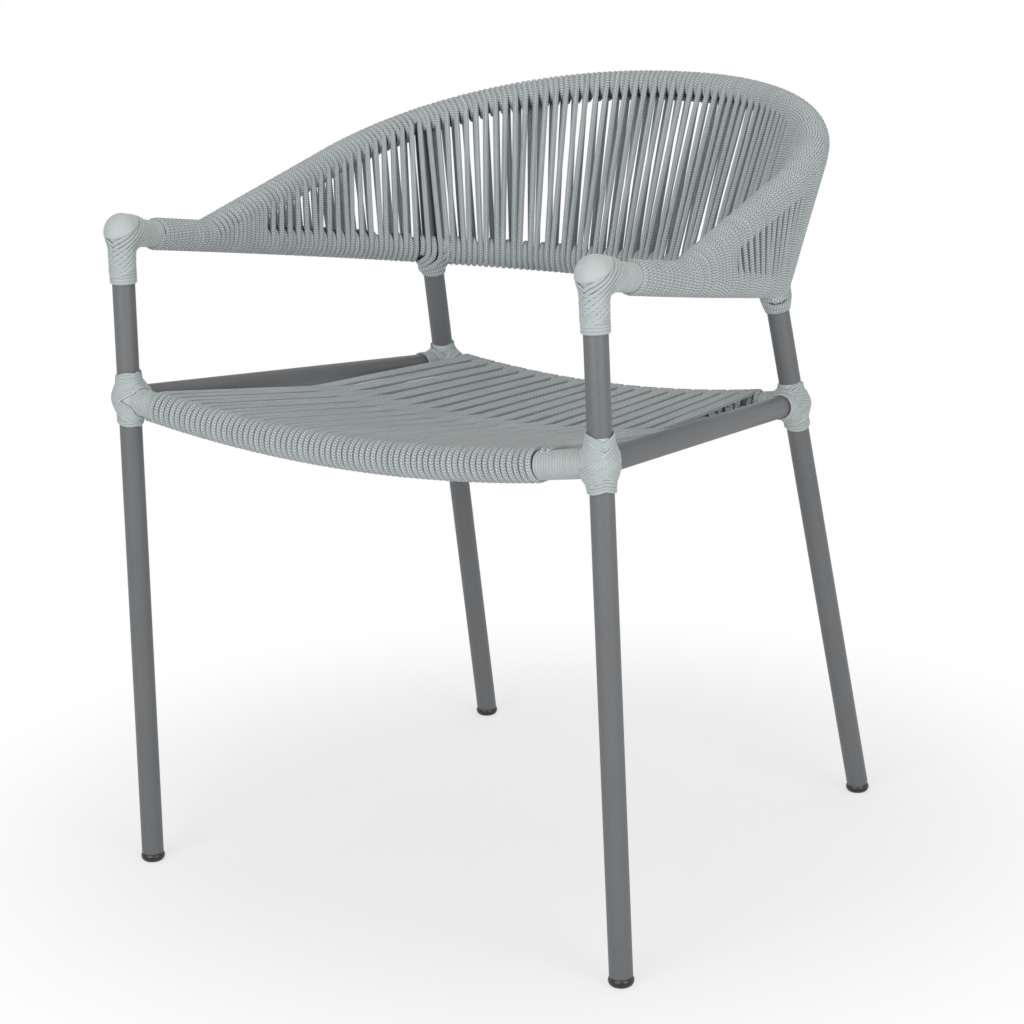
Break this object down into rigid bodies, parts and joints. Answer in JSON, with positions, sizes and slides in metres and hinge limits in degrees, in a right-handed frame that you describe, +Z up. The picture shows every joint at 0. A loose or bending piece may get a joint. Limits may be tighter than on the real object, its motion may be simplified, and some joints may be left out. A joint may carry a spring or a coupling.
{
  "type": "rattan bistro chair",
  "caption": "Armchair with a bent tube frame, a dipped seat and a curved back, both woven from round braided rope, with rope-lashed joints.",
  "frame": {"origin": "on the floor, under the middle of the overall box", "axes": "+X to the right seen from the front, -Y towards the front, +Z up"},
  "size_m": [0.5882, 0.6082, 0.7487],
  "materials": {
    "frame_paint": "satin powder coat, grey",
    "rope": "matte braided rope, pale grey-green",
    "glide_plastic": "black moulded plastic"
  },
  "bodies": {
    "root": {"arm_rail": "frame_paint", "top_rail": "frame_paint", "seat_front_rail": "frame_paint", "seat_rear_rail": "frame_paint", "front_leg_right": "frame_paint", "front_leg_left": "frame_paint", "rear_leg_right": "frame_paint", "rear_leg_left": "frame_paint", "back_upright_right": "frame_paint", "back_upright_left": "frame_paint", "seat_side_rail_right": "frame_paint", "seat_side_rail_left": "frame_paint", "front_glide_right": "glide_plastic", "front_glide_left": "glide_plastic", "rear_glide_right": "glide_plastic", "rear_glide_left": "glide_plastic", "elbow_lashing_right": "rope", "elbow_lashing_left": "rope", "arm_wrap_right": "rope", "arm_wrap_left": "rope", "front_seat_lashing_right": "rope", "front_seat_lashing_left": "rope", "rear_seat_lashing_right": "rope", "rear_seat_lashing_left": "rope", "rear_collar_right": "rope", "rear_collar_left": "rope", "seat_weave": "rope", "back_weave_left": "rope", "back_weave_middle": "rope", "back_weave_right": "rope"}
  },
  "joints": []
}
